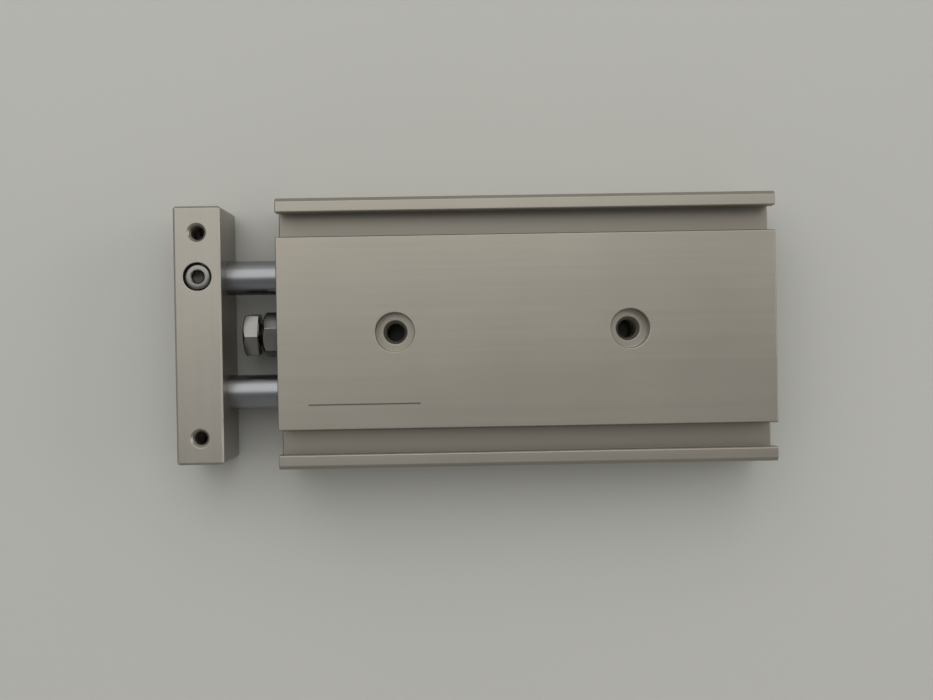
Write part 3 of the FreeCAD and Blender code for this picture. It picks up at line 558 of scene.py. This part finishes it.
def make_finishes(colours):
    """Make every finish once, from the colours in the sidebar."""
    low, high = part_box("rod_a")
    axis = ((low.y + high.y) / 2, (low.z + high.z) / 2)
    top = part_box("housing")[1].z
    seat_place = MOUNTS["body_bolts"]["dims"]["spacing_x_mm"] / 2 * MM
    space_low, space_high = frame["record"]["physics"]["openings"][0]["box_m"]
    slots = {
        "inner": space_low[1] - SLOT_UNDERCUT,
        "outer": space_high[1] + SLOT_UNDERCUT,
        "floor": space_low[2] - SLOT_BELOW,
        "mouth": top - SLOT_LIP,
    }
    rule = {
        "start": colours.rule_start,
        "stop": colours.rule_stop,
        "side": colours.rule_side,
        "width": colours.rule_width,
        "top": top,
        "ink": colours.ink,
    }
    anodised_finish(FINISHES["anodised_housing"], colours.anodised, colours.bright_edge, "X",
                    seat_place, slots, rule)
    anodised_finish(PLATE_FINISH, colours.plate, colours.bright_edge, "Y")
    turned_finish(FINISHES["machined_aluminium"], colours.turned, axis,
                  pitch=0.36 * MM, roughness=0.28, depth=0.005 * MM, tone=0.045)
    turned_finish(FINISHES["chromed_rod"], colours.chrome, axis,
                  pitch=0.24 * MM, roughness=0.29, depth=0.0001 * MM, tone=0.010)
    plated_finish(FINISHES["plated_steel"], colours.plated, roughness=0.28, tint=1.06)
    plated_finish(FINISHES["spring_steel"], colours.spring, roughness=0.40, tint=1.35)
    moulded_finish(FINISHES["bearing_bronze"], colours.bronze, roughness=0.42, speckle=0.7, metallic=1.0)
    moulded_finish(FINISHES["black_rubber"], colours.rubber, roughness=0.55, speckle=0.3)
    moulded_finish(FINISHES["bumper_urethane"], colours.urethane, roughness=0.48, speckle=0.2)
    moulded_finish(FINISHES["ring_magnet"], colours.ferrite, roughness=0.62, speckle=0.5)


def deselect():
    bpy.ops.object.select_all(action="DESELECT")


def select(piece):
    """Select one piece alone and make it the active one."""
    deselect()
    piece.select_set(True)
    bpy.context.view_layer.objects.active = piece


def edit(piece):
    """Open one piece in edit mode with all of it selected."""
    select(piece)
    bpy.ops.object.mode_set(mode="EDIT")
    bpy.ops.mesh.select_all(action="SELECT")


def weld():
    """Merge the doubles of the open piece."""
    bpy.ops.mesh.select_all(action="SELECT")
    bpy.ops.mesh.remove_doubles(threshold=WELD)


def close_edit():
    """Weld the open piece, turn its faces outwards and leave edit mode."""
    weld()
    bpy.ops.mesh.normals_make_consistent(inside=False)
    bpy.ops.object.mode_set(mode="OBJECT")


def draw_line(name, points):
    """Start a piece as one vertex and extrude it through the points; the piece stays in edit mode."""
    deselect()
    bpy.ops.mesh.primitive_plane_add(size=MM)
    piece = bpy.context.object
    piece.name = name
    bpy.ops.object.mode_set(mode="EDIT")
    bpy.ops.mesh.merge(type="CENTER")
    bpy.ops.transform.translate(value=points[0])
    for before, after in zip(points, points[1:]):
        bpy.ops.mesh.extrude_region_move(TRANSFORM_OT_translate={"value": after - before})
    weld()
    return piece


def profile(axis, corners):
    """Places of (along, radius) corners beside an axis through the origin."""
    direction, outward = AXES[axis]
    return [direction * along + outward * radius for along, radius in corners]


def scaled(shares, size, start):
    """Corners of a profile from shares of a size, moved along its axis to a start."""
    return [(start + along * size, radius * size) for along, radius in shares]


def spun(name, axis, corners, steps=64):
    """Turn a profile about an axis through the origin."""
    piece = draw_line(name, profile(axis, corners))
    bpy.ops.mesh.spin(steps=steps, angle=math.tau, center=(0, 0, 0), axis=AXES[axis][0])
    close_edit()
    return piece


def polygon(axis, radii, along, turn):
    """Corners round an axis, one for each radius, starting from the axis's outward direction."""
    direction, outward = AXES[axis]
    sideways = direction.cross(outward)
    corners = []
    for index, radius in enumerate(radii):
        angle = turn + index * math.tau / len(radii)
        spoke = outward * math.cos(angle) + sideways * math.sin(angle)
        corners.append(direction * along + spoke * radius)
    return corners


def prism(name, axis, radii, start, stop, turn=0.0):
    """Extrude a polygon along an axis."""
    corners = polygon(axis, radii, start, turn)
    piece = draw_line(name, corners + corners[:1])
    bpy.ops.mesh.edge_face_add()
    bpy.ops.mesh.extrude_region_move(TRANSFORM_OT_translate={"value": AXES[axis][0] * (stop - start)})
    close_edit()
    return piece


def corner_radius(across_flats):
    """Distance of a hexagon's corners from its middle."""
    return across_flats / math.sqrt(3)


def hexagon(name, axis, across_flats, start, stop, turn=0.0):
    """Hexagon bar along an axis."""
    return prism(name, axis, [corner_radius(across_flats)] * 6, start, stop, turn)


def hexagon_blank(face, height, both):
    """Profile along X that turns the corners off a hexagon, at one face or at both."""
    wide = face * HEX_BLANK
    slope = (wide - face) * math.tan(HEX_SLOPE)
    far = [(height - slope, wide), (height, face)] if both else [(height, wide)]
    return [(0, 0), (0, face), (slope, wide), *far, (height, 0)]


def apply_modifier(piece, kind, settings):
    """Add a modifier to a piece and apply it."""
    select(piece)
    modifier = piece.modifiers.new(kind.lower(), kind)
    for name, value in settings.items():
        setattr(modifier, name, value)
    bpy.ops.object.modifier_apply(modifier=modifier.name)


def combine(piece, operation, tool):
    """Join or cut a piece with a tool, which is used up."""
    apply_modifier(piece, "BOOLEAN", {"operation": operation, "object": tool, "solver": "EXACT"})
    bpy.data.objects.remove(tool)


def round_edges(piece, width):
    """Round the sharp edges of a piece."""
    settings = {"width": width, "segments": 2, "limit_method": "ANGLE", "angle_limit": SHARP_ANGLE}
    apply_modifier(piece, "BEVEL", settings)


def coil(piece, axis, pitch, turns):
    """Leave edit mode and sweep the piece's line into a helix."""
    bpy.ops.object.mode_set(mode="OBJECT")
    steps = bpy.context.scene.cylinder_screws.thread_steps
    apply_modifier(piece, "SCREW", {
        "axis": axis,
        "screw_offset": pitch,
        "iterations": turns,
        "steps": steps,
        "render_steps": steps,
        "use_merge_vertices": True,
        "merge_threshold": WELD,
    })


def thread(name, axis, length, radius, pitch, chamfer):
    """Threaded shank from the origin along an axis, with both ends chamfered."""
    direction = AXES[axis][0]
    root = radius - THREAD_DEPTH * pitch
    foot = THREAD_FLAT * pitch
    crest = foot + THREAD_FLANK * pitch
    crest_end = crest + THREAD_CREST * pitch
    corners = [(0, root), (foot, root), (crest, radius), (crest_end, radius), (pitch, root)]
    spare = SPARE_TURNS * pitch
    piece = draw_line(name, profile(axis, [(along - spare, reach) for along, reach in corners]))
    coil(piece, axis, pitch, math.ceil(length / pitch) + 2 * SPARE_TURNS)
    edit(piece)
    weld()
    for cut, side in ((0.0, {"clear_inner": True}), (length, {"clear_outer": True})):
        bpy.ops.mesh.select_all(action="SELECT")
        bpy.ops.mesh.bisect(plane_co=direction * cut, plane_no=direction, use_fill=True,
                            threshold=WELD, **side)
    close_edit()
    end = radius - chamfer
    wide = radius * THREAD_BLANK
    slope = wide - end
    blank = [(0, 0), (0, end), (slope, wide), (length - slope, wide), (length, end), (length, 0)]
    combine(piece, "INTERSECT", spun("blank", axis, blank, steps=48))
    return piece


def hole_thread(name, axis, length, radius, pitch):
    """Helical ridge on the wall of a hole, from the origin along an axis."""
    rise = bpy.context.scene.cylinder_screws.ridge_share * pitch
    sunk = radius + rise * RIDGE_SUNK
    half = pitch * RIDGE_HALF
    corners = [(0, sunk), (half, radius - rise), (2 * half, sunk), (0, sunk)]
    piece = draw_line(name, profile(axis, corners))
    coil(piece, axis, pitch, int((length - 2 * half) / pitch))
    edit(piece)
    weld()
    bpy.ops.mesh.fill_holes(sides=3)
    close_edit()
    return piece


def copied(piece):
    """Copy a piece with a mesh of its own."""
    twin = piece.copy()
    twin.data = piece.data.copy()
    bpy.context.scene.collection.objects.link(twin)
    return twin


def front_of(low, high):
    """Middle of the front face of a box."""
    return (low.x, (low.y + high.y) / 2, (low.z + high.z) / 2)


def settle(piece, name, place, body, slot, replaced=()):
    """Move a finished piece to its place, give it its finish and let it ride on its body."""
    select(piece)
    piece.name = name
    piece.data.name = name
    piece.location = place
    bpy.ops.object.transform_apply(location=True, rotation=True, scale=True)
    bpy.ops.object.shade_smooth_by_angle(angle=SMOOTH_ANGLE)
    give_finish(piece, FINISHES[slot])
    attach(piece, body)
    if replaced:
        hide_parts(*replaced)


class CYLINDER_OT_finishes(bpy.types.Operator):
    """Give every CAD piece its finish"""
    bl_idname = "cylinder.finishes"
    bl_label = "Finish the pieces"

    def execute(self, context):
        make_finishes(context.scene.cylinder_finishes)
        for row in frame["record"]["subparts"]:
            name = PLATE_FINISH if row["node"] == "end_plate" else FINISHES[row["material_slot"]]
            give_finish(frame["nodes"][row["node"]], name)
        return {"FINISHED"}


class CYLINDER_OT_stop_bolt(bpy.types.Operator):
    """Model the hexagon stop bolt with its thread"""
    bl_idname = "cylinder.stop_bolt"
    bl_label = "Stop bolt"

    def execute(self, context):
        sizes = context.scene.cylinder_screws
        low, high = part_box("stop_bolt")
        face = sizes.washer_face / 2
        height = sizes.stop_head - sizes.washer_height
        inset = sizes.stop_head / 2
        length = high.x - low.x - inset
        head = hexagon("bolt_head", "X", sizes.stop_hex, 0, height, sizes.stop_turn)
        combine(head, "INTERSECT", spun("blank", "X", hexagon_blank(face, height, both=False)))
        round_edges(head, sizes.hex_break)
        seat = [(inset, 0), (inset, face), (sizes.stop_head, face), (sizes.stop_head, 0)]
        combine(head, "UNION", spun("washer_face", "X", seat))
        shank = thread("shank", "X", length, sizes.stop_shank / 2, sizes.stop_pitch, sizes.stop_point)
        shank.location.x = inset
        combine(head, "UNION", shank)
        place = front_of(low, high)
        settle(head, "stop_bolt_threaded", place, "stop_screw", "plated_steel", ["stop_bolt"])
        return {"FINISHED"}


class CYLINDER_OT_lock_nut(bpy.types.Operator):
    """Model the lock nut of the stop bolt"""
    bl_idname = "cylinder.lock_nut"
    bl_label = "Lock nut"

    def execute(self, context):
        sizes = context.scene.cylinder_screws
        low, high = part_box("stop_lock_nut")
        height = high.x - low.x
        face = sizes.washer_face / 2
        nut = hexagon("nut", "X", sizes.stop_hex, 0, height, sizes.nut_turn)
        combine(nut, "INTERSECT", spun("blank", "X", hexagon_blank(face, height, both=True)))
        round_edges(nut, sizes.hex_break)
        hole = sizes.nut_hole / 2
        mouth = sizes.nut_mouth / 2
        slope = mouth - hole
        near = [(-MM, 0), (-MM, mouth), (0, mouth), (slope, hole)]
        far = [(height - slope, hole), (height, mouth), (height + MM, mouth), (height + MM, 0)]
        combine(nut, "DIFFERENCE", spun("drill", "X", near + far))
        place = front_of(low, high)
        settle(nut, "lock_nut_chamfered", place, "cylinder", "plated_steel", ["stop_lock_nut"])
        return {"FINISHED"}


class CYLINDER_OT_clamp_screws(bpy.types.Operator):
    """Model the two socket head screws that clamp the rods in the plate"""
    bl_idname = "cylinder.clamp_screws"
    bl_label = "Clamp screws"

    def crown(self, radius, height):
        """Profile along Z that chamfers a head's lower edge and rounds its upper one."""
        chamfer = radius * HEAD_CHAMFER
        wide = radius * HEAD_BLANK
        bend = 2 * chamfer
        corners = [(0, 0), (0, radius - chamfer), (chamfer, wide), (height - bend, wide)]
        for step in range(1, CROWN_STEPS + 1):
            angle = math.radians(90 * step / CROWN_STEPS)
            corners.append((height - bend * (1 - math.sin(angle)), wide - bend * (1 - math.cos(angle))))
        return corners + [(height, 0)]

    def cut_socket(self, head, flats, height, depth):
        """Cut a hexagon socket with a drill point and a chamfered rim into a head."""
        floor = height - depth
        corner = corner_radius(flats)
        combine(head, "DIFFERENCE", hexagon("socket", "Z", flats, floor, height + MM))
        combine(head, "DIFFERENCE", spun("drill_point", "Z", scaled(DRILL_POINT, corner, floor), steps=36))
        combine(head, "DIFFERENCE", spun("socket_rim", "Z", scaled(SOCKET_RIM, corner, height), steps=48))

    def execute(self, context):
        sizes = context.scene.cylinder_screws
        low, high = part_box("plate_clamp_screws")
        plate_low, plate_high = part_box("end_plate")
        radius = (high.x - low.x) / 2
        height = radius * HEAD_HEIGHT
        knurled = [radius, radius, radius - sizes.clamp_knurl_depth] * sizes.clamp_knurls
        head = prism("screw_head", "Z", knurled, 0, height)
        combine(head, "INTERSECT", spun("crown", "Z", self.crown(radius, height), steps=72))
        self.cut_socket(head, sizes.clamp_socket, height, sizes.clamp_socket_depth)
        length = sizes.clamp_length + height * SHANK_OVERLAP
        shank = thread("shank", "Z", length, sizes.clamp_shank / 2, sizes.clamp_pitch, sizes.clamp_point)
        shank.location.z = -sizes.clamp_length
        combine(head, "UNION", shank)
        below = copied(head)
        below.rotation_euler.x = math.pi
        middle = (plate_low.z + plate_high.z) / 2
        seat = high.z - height
        screws = {
            "clamp_screw_top": (head, "rod_a", seat),
            "clamp_screw_below": (below, "rod_b", 2 * middle - seat),
        }
        for name, (piece, rod, z) in screws.items():
            rod_low, rod_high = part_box(rod)
            place = ((low.x + high.x) / 2, (rod_low.y + rod_high.y) / 2, z)
            settle(piece, name, place, "carriage", "plated_steel", ["plate_clamp_screws"])
        return {"FINISHED"}


class CYLINDER_OT_port_plugs(bpy.types.Operator):
    """Model the threaded plugs in the spare ports"""
    bl_idname = "cylinder.port_plugs"
    bl_label = "Port plugs"

    def execute(self, context):
        sizes = context.scene.cylinder_screws
        low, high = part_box("port_plugs")
        radius = (high.z - low.z) / 2
        plug = thread("plug", "Y", high.y - low.y, radius, sizes.plug_pitch, sizes.plug_point)
        combine(plug, "DIFFERENCE", hexagon("socket", "Y", sizes.plug_socket, -MM, sizes.plug_socket_depth))
        corner = corner_radius(sizes.plug_socket)
        outer = corner * PLUG_RIM_OUTER
        inner = corner * PLUG_RIM_INNER
        depth = corner * PLUG_RIM_DEPTH
        rim = [(-MM, 0), (-MM, outer), (0, outer), (depth, inner), (depth, 0)]
        combine(plug, "DIFFERENCE", spun("socket_rim", "Y", rim, steps=48))
        z = (low.z + high.z) / 2
        plugs = {
            "port_plug_rear": (copied(plug), high.x - radius),
            "port_plug_front": (plug, low.x + radius),
        }
        for name, (piece, x) in plugs.items():
            settle(piece, name, (x, low.y, z), "cylinder", "plated_steel", ["port_plugs"])
        return {"FINISHED"}


class CYLINDER_OT_hole_threads(bpy.types.Operator):
    """Model the threads in the tapped holes of the housing and the end plate"""
    bl_idname = "cylinder.hole_threads"
    bl_label = "Threads in the holes"

    def centres(self, mount, spread):
        """Centre of a mount's one hole, or of its pair of holes along an axis."""
        middle = Vector(mount["pos_m"])
        if spread is None:
            return [middle]
        spacing = mount["dims"].get("spacing_x_mm", mount["dims"].get("spacing_y_mm")) * MM
        offset = AXES[spread][0] * (spacing / 2)
        return [middle + offset, middle - offset]

    def lay(self, name, mount, axis, body, pitch, stretches, spread=None):
        """Lay a thread in each stretch of each hole of one mount."""
        radius = mount["dims"].get("hole_r_mm", mount["dims"].get("r_mm")) * MM
        direction = AXES[axis][0]
        count = 0
        for centre in self.centres(mount, spread):
            for start, stop in stretches:
                count += 1
                piece = hole_thread("thread", axis, stop - start, radius, pitch)
                place = centre - direction * centre.dot(direction) + direction * start
                settle(piece, f"{name}_{count}", place, body, "anodised_housing")

    def crossed(self, start, stop, sizes):
        """Stretches of a plate hole on both sides of its crossing."""
        middle = (start + stop) / 2
        return [
            (start + sizes.plate_inset, middle - sizes.crossing),
            (middle + sizes.crossing, stop - sizes.plate_inset),
        ]

    def execute(self, context):
        sizes = context.scene.cylinder_screws
        low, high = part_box("housing")
        plate_low, plate_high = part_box("end_plate")
        middle = (low.z + high.z) / 2
        half = sizes.mount_thread / 2
        rear = high.x - sizes.rear_inset
        self.lay("mount_thread", MOUNTS["body_bolts"], "Z", "cylinder", sizes.mount_pitch,
                 [(middle - half, middle + half)], spread="X")
        self.lay("rear_thread", MOUNTS["rear_taps"], "X", "cylinder", sizes.mount_pitch,
                 [(rear - sizes.rear_thread, rear)], spread="Y")
        self.lay("plate_upright_thread", MOUNTS["plate_upright_taps"], "Z", "carriage", sizes.plate_pitch,
                 self.crossed(plate_low.z, plate_high.z, sizes), spread="Y")
        self.lay("plate_face_thread", MOUNTS["plate_face_taps"], "X", "carriage", sizes.plate_pitch,
                 self.crossed(plate_low.x, plate_high.x, sizes), spread="Y")
        for port in ("front_port", "rear_port"):
            mount = MOUNTS[port]
            outer = mount["pos_m"][1]
            depth = mount["dims"]["length_mm"] * MM
            self.lay(f"{port}_thread", mount, "Y", "cylinder", sizes.plug_pitch, [(outer - depth, outer)])
        return {"FINISHED"}


class CYLINDER_OT_studio(bpy.types.Operator):
    """Set up the floor, the light and the camera"""
    bl_idname = "cylinder.studio"
    bl_label = "Studio"

    def floor(self, studio):
        """Lay a plain floor just under the base."""
        deselect()
        bpy.ops.mesh.primitive_plane_add(size=studio.floor_size, location=(0, 0, -studio.floor_gap))
        floor = bpy.context.object
        floor.name = "floor"
        shader = new_finish(FLOOR_FINISH)
        place = shader.position()
        cloud = shader.noise(place, scale=9.0, detail=3.0)
        grain = shader.noise(place, scale=900.0)
        shader.surface({
            "Base Color": shader.mix(cloud, shade(studio.floor, 0.975), shade(studio.floor, 1.02)),
            "Roughness": 0.55 + grain.swing(0.2),
            "Normal": shader.bump(grain, distance=0.01 * MM, strength=0.2),
        })
        give_finish(floor, FLOOR_FINISH)

    def world(self, scene, studio):
        """Light the scene from a bright and a dim side."""
        scene.world = scene.world or bpy.data.worlds.new("studio")
        scene.world.use_nodes = True
        shader = Shader(scene.world.node_tree)
        x, y, z = shader.parts(shader.node("ShaderNodeTexCoord", output="Generated"))
        towards = y * math.cos(studio.world_turn) - x * math.sin(studio.world_turn)
        dim = blend(z.ramp(*LOW_LIGHT), studio.world_dim, studio.world_low)
        level = blend(towards.ramp(-SIDE_BLEND, SIDE_BLEND), dim, studio.world_bright)
        white = (1.0, 1.0, 1.0, 1.0)
        background = shader.node("ShaderNodeBackground", None, {"Color": white, "Strength": level})
        shader.node("ShaderNodeOutputWorld", None, {"Surface": background})

    def lamp(self, name, power, size, place, spread):
        """Aim a square lamp at the part."""
        deselect()
        bpy.ops.object.light_add(type="AREA", location=place)
        lamp = bpy.context.object
        lamp.name = name
        lamp.data.energy = power
        lamp.data.size = size
        lamp.data.spread = spread
        lamp.rotation_euler = (-Vector(place)).to_track_quat("-Z", "Y").to_euler()
        lamp.visible_camera = False

    def execute(self, context):
        scene = context.scene
        studio = scene.cylinder_studio
        self.floor(studio)
        self.world(scene, studio)
        self.lamp("key", studio.key_power, studio.key_size, studio.key_place, studio.key_spread)
        self.lamp("rim", studio.rim_power, studio.rim_size, studio.rim_place, studio.rim_spread)
        deselect()
        bpy.ops.object.camera_add(location=studio.camera_place, rotation=studio.camera_turn)
        scene.camera = context.object
        scene.camera.data.lens = studio.lens
        scene.camera.data.clip_start = CLIP_START
        scene.view_settings.view_transform = "Standard"
        return {"FINISHED"}


class CYLINDER_PT_sidebar(bpy.types.Panel):
    """Lists the pieces and their sizes and colours"""
    bl_idname = "CYLINDER_PT_sidebar"
    bl_label = "Twin Rod Cylinder"
    bl_space_type = "VIEW_3D"
    bl_region_type = "UI"
    bl_category = "Cylinder"

    def draw(self, context):
        for operator in OPERATORS:
            self.layout.operator(operator.bl_idname)
        for settings in GROUPS:
            group = getattr(context.scene, settings)
            box = self.layout.box()
            for name in group.__annotations__:
                box.prop(group, name)


OPERATORS = (
    CYLINDER_OT_finishes,
    CYLINDER_OT_stop_bolt,
    CYLINDER_OT_lock_nut,
    CYLINDER_OT_clamp_screws,
    CYLINDER_OT_port_plugs,
    CYLINDER_OT_hole_threads,
    CYLINDER_OT_studio,
)
GROUPS = {
    "cylinder_screws": CYLINDER_PG_screws,
    "cylinder_finishes": CYLINDER_PG_finishes,
    "cylinder_studio": CYLINDER_PG_studio,
}


def register():
    for settings, group in GROUPS.items():
        bpy.utils.register_class(group)
        setattr(bpy.types.Scene, settings, PointerProperty(type=group))
    for item in (*OPERATORS, CYLINDER_PT_sidebar):
        bpy.utils.register_class(item)


def unregister():
    for item in (CYLINDER_PT_sidebar, *reversed(OPERATORS)):
        bpy.utils.unregister_class(item)
    for settings, group in reversed(GROUPS.items()):
        delattr(bpy.types.Scene, settings)
        bpy.utils.unregister_class(group)


def main():
    register()
    for operator in OPERATORS:
        group, name = operator.bl_idname.split(".")
        getattr(getattr(bpy.ops, group), name)()


if __name__ == "__main__":
    main()
